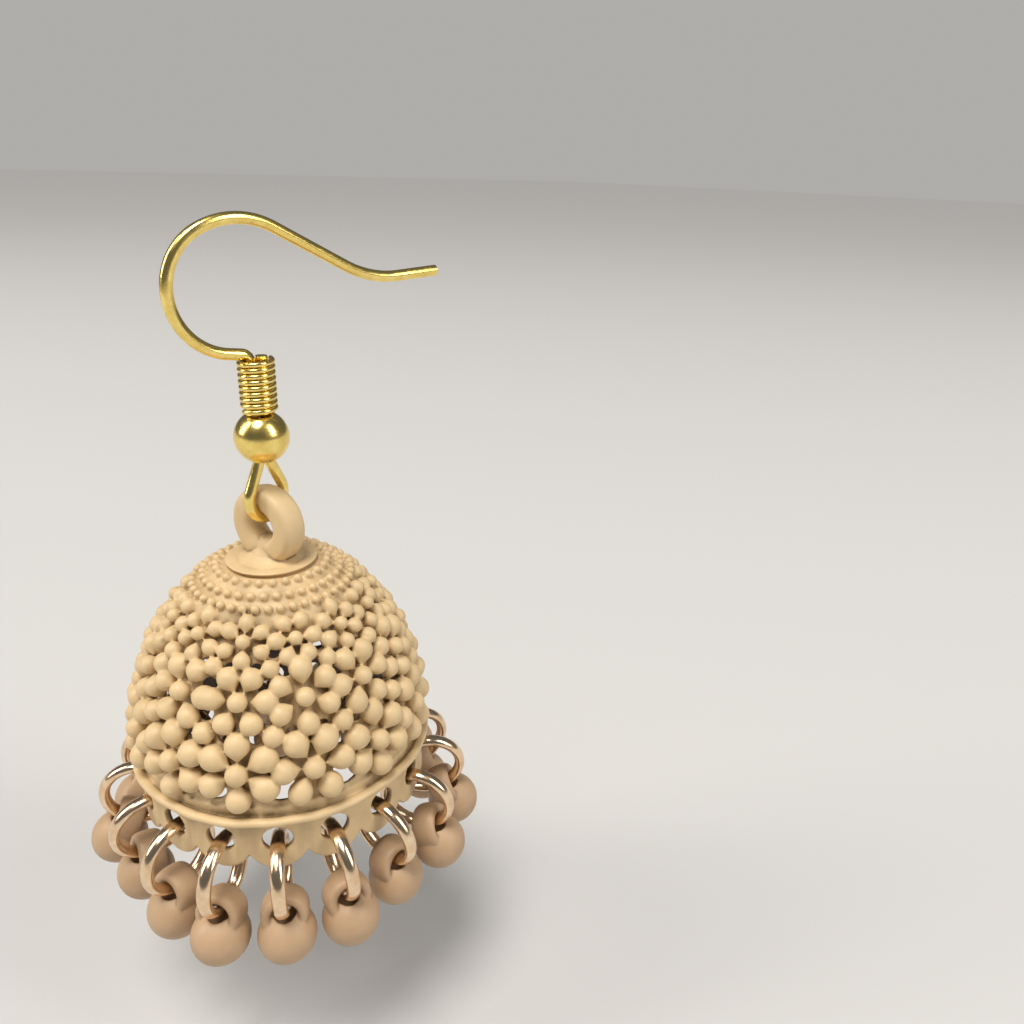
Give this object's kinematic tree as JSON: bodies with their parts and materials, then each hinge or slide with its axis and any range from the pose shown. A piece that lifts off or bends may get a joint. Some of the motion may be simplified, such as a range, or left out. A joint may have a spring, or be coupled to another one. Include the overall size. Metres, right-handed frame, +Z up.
{
  "type": "jhumka earring",
  "caption": "Fish-hook jhumka earring: a pierced, painted bell with raised flowers, a scalloped skirt and a fringe of ball drops on small rings.",
  "frame": {"origin": "where the earring hangs: the top of the bend's inner side, where the hook wire rests in the ear", "axes": "+Z is up, +X is forward from the bend toward the ball and the dome, and +Y completes the right-handed frame; the hook wire's bend lies in the XZ plane"},
  "size_m": [0.023, 0.0224, 0.0402],
  "materials": {
    "gold_wire": "gold-plated brass wire, bright polish",
    "rose_gold_rings": "rose-gold-plated wire, bright polish",
    "painted_beige": "matte rose-beige enamel paint over a zinc casting"
  },
  "bodies": {
    "hook": {"ear_hook": "gold_wire", "coil_wrap": "gold_wire", "hook_ball": "gold_wire"},
    "dome": {"jhumka_dome": "painted_beige", "jump_ring_01": "rose_gold_rings", "jump_ring_02": "rose_gold_rings", "jump_ring_03": "rose_gold_rings", "jump_ring_04": "rose_gold_rings", "jump_ring_05": "rose_gold_rings", "jump_ring_06": "rose_gold_rings", "jump_ring_07": "rose_gold_rings", "jump_ring_08": "rose_gold_rings", "jump_ring_09": "rose_gold_rings", "jump_ring_10": "rose_gold_rings", "jump_ring_11": "rose_gold_rings", "jump_ring_12": "rose_gold_rings", "jump_ring_13": "rose_gold_rings", "jump_ring_14": "rose_gold_rings", "jump_ring_15": "rose_gold_rings", "jump_ring_16": "rose_gold_rings", "jump_ring_17": "rose_gold_rings", "ball_drop_01": "painted_beige", "ball_drop_02": "painted_beige", "ball_drop_03": "painted_beige", "ball_drop_04": "painted_beige", "ball_drop_05": "painted_beige", "ball_drop_06": "painted_beige", "ball_drop_07": "painted_beige", "ball_drop_08": "painted_beige", "ball_drop_09": "painted_beige", "ball_drop_10": "painted_beige", "ball_drop_11": "painted_beige", "ball_drop_12": "painted_beige", "ball_drop_13": "painted_beige", "ball_drop_14": "painted_beige", "ball_drop_15": "painted_beige", "ball_drop_16": "painted_beige", "ball_drop_17": "painted_beige"}
  },
  "joints": [
    {"name": "dome_swing", "type": "hinge", "parent": "hook", "child": "dome", "pos_m": [0.00044, 0, -0.0158], "axis": [0.9511, 0.309, 0], "range_deg": [-60, 60]}
  ]
}
